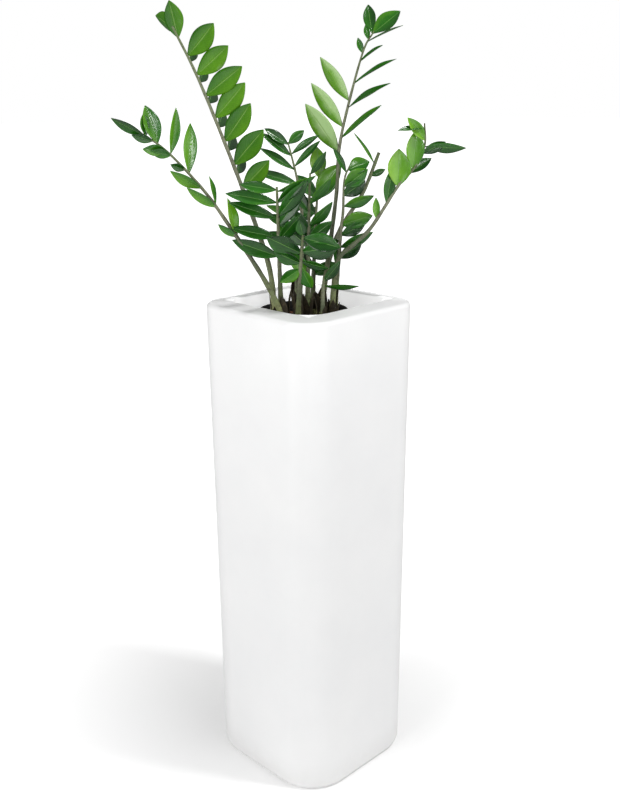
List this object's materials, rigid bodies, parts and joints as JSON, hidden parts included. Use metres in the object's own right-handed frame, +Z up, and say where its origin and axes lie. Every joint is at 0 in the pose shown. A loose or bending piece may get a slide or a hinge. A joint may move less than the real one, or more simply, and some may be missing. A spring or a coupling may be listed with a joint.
{
  "type": "self-watering planter",
  "caption": "Tall white square planter with a rolled rim, a lift-out self-watering liner and a leafy plant in a nursery pot.",
  "frame": {"origin": "centre of the shell's flat underside, on the floor", "axes": "+Z up; the square's sides run along X and Y; the corner between +X and -Y is the front corner"},
  "size_m": [0.3429, 0.3979, 1.162],
  "materials": {
    "white_shell": "smooth satin white, rotation moulded",
    "black_plastic": "fine matt moulded polypropylene",
    "grey_plastic": "matt moulded polypropylene",
    "rubber_black": "soft moulded rubber",
    "clear_plastic": "clear polished styrene",
    "float_foam": "closed-cell foam",
    "red_plastic": "glossy signal red",
    "steel": "drawn wire",
    "pot_plastic": "thin matt nursery pot plastic",
    "soil": "moist crumbly potting mix",
    "bark": "dry reddish bark chips",
    "cotton": "braided cotton cord",
    "leaf_green": "waxy dark green leaves on paler stalks"
  },
  "bodies": {
    "shell": {"outer_shell": "white_shell"},
    "drain_plug": {"base_drain_plug": "rubber_black"},
    "liner": {"liner_tub": "black_plastic"},
    "overflow_bung": {"overflow_plug": "rubber_black"},
    "left_handle": {"liner_handle_left": "black_plastic"},
    "right_handle": {"liner_handle_right": "black_plastic"},
    "platform": {"separator_platform": "grey_plastic", "support_column_1": "grey_plastic", "support_column_2": "grey_plastic", "support_column_3": "grey_plastic", "support_column_4": "grey_plastic", "filler_tube": "black_plastic", "lid_hinge_pin": "steel", "gauge_tube": "grey_plastic", "gauge_head": "clear_plastic"},
    "lid": {"filler_lid": "black_plastic"},
    "float": {"gauge_float": "float_foam", "float_rod": "grey_plastic", "indicator_tip": "red_plastic"},
    "pot": {"grow_pot": "pot_plastic", "potting_soil": "soil", "bark_mulch": "bark", "wick_1": "cotton", "wick_2": "cotton", "frond_1": "leaf_green", "frond_2": "leaf_green", "frond_3": "leaf_green", "frond_4": "leaf_green", "frond_5": "leaf_green", "frond_6": "leaf_green", "frond_7": "leaf_green", "frond_8": "leaf_green", "frond_9": "leaf_green", "frond_10": "leaf_green", "frond_11": "leaf_green", "frond_12": "leaf_green", "frond_13": "leaf_green"}
  },
  "joints": [
    {"name": "drain_plug_pull", "type": "slide", "parent": "shell", "child": "drain_plug", "axis": [0, 0, -1], "range_m": [0, 0.015]},
    {"name": "liner_lift", "type": "slide", "parent": "shell", "child": "liner", "axis": [0, 0, 1], "range_m": [0, 0.28]},
    {"name": "overflow_plug_pull", "type": "slide", "parent": "liner", "child": "overflow_bung", "axis": [-1, 0, 0], "range_m": [0, 0.01]},
    {"name": "left_handle_pull", "type": "slide", "parent": "liner", "child": "left_handle", "axis": [0, 0, 1], "range_m": [0, 0.045]},
    {"name": "right_handle_pull", "type": "slide", "parent": "liner", "child": "right_handle", "axis": [0, 0, 1], "range_m": [0, 0.045]},
    {"name": "platform_lift", "type": "slide", "parent": "liner", "child": "platform", "axis": [0, 0, 1], "range_m": [0, 0.18]},
    {"name": "lid_hinge", "type": "hinge", "parent": "platform", "child": "lid", "pos_m": [0.059, -0.0765, 0.7233], "axis": [1, 0, 0], "range_deg": [0, 95]},
    {"name": "float_rise", "type": "slide", "parent": "platform", "child": "float", "axis": [0, 0, 1], "range_m": [0, 0.045]},
    {"name": "pot_lift", "type": "slide", "parent": "platform", "child": "pot", "axis": [0, 0, 1], "range_m": [0, 0.16]}
  ]
}
